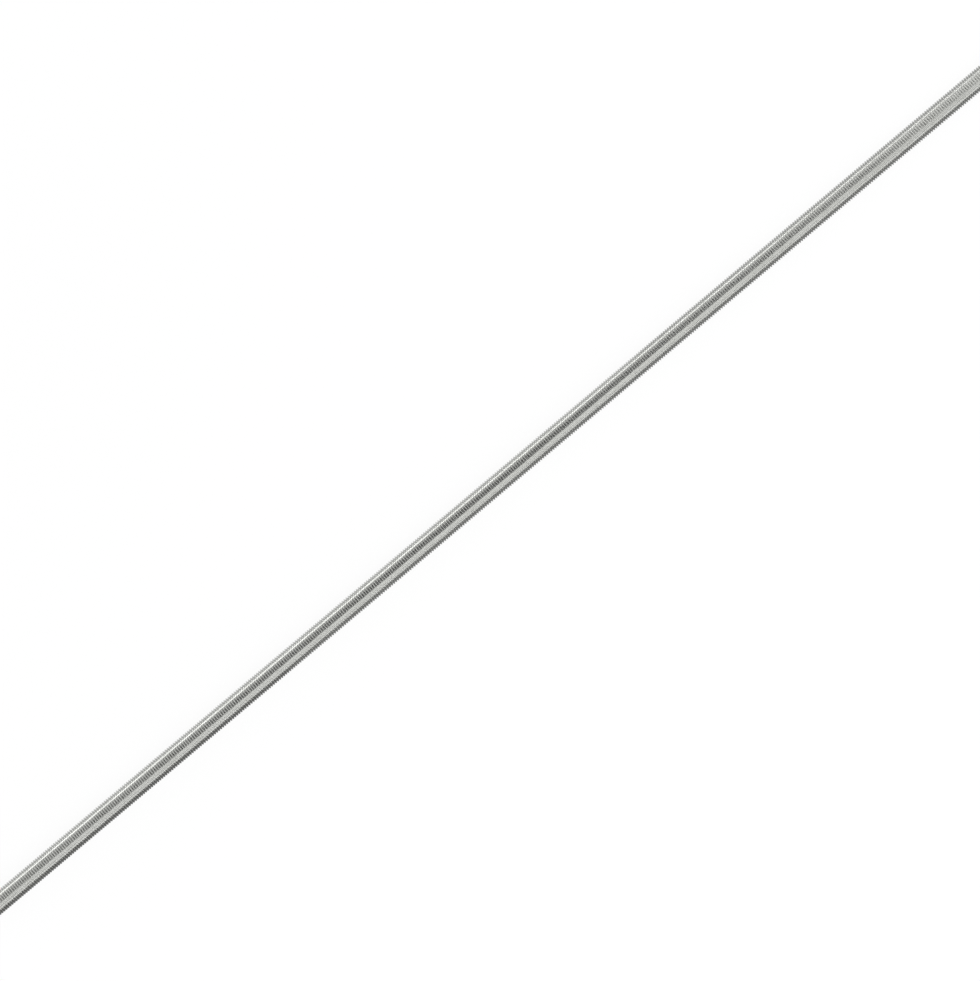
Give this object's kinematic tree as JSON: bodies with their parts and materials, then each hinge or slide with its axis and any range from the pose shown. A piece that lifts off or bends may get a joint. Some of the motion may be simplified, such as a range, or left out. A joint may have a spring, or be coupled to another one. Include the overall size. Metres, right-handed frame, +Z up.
{
  "type": "threaded rod",
  "caption": "Long straight steel rod with a coarse right-hand thread over its whole length and a chamfer at each end.",
  "frame": {"origin": "centre of the left end face, on the rod's axis", "axes": "+X along the rod's axis to the right end face; +Y and +Z across it, +Z up as the rod lies"},
  "size_m": [1, 0.016, 0.016],
  "materials": {
    "rod_steel": "bright zinc-plated, rolled thread with smooth flanks"
  },
  "bodies": {
    "root": {"threaded_rod": "rod_steel"}
  },
  "joints": []
}
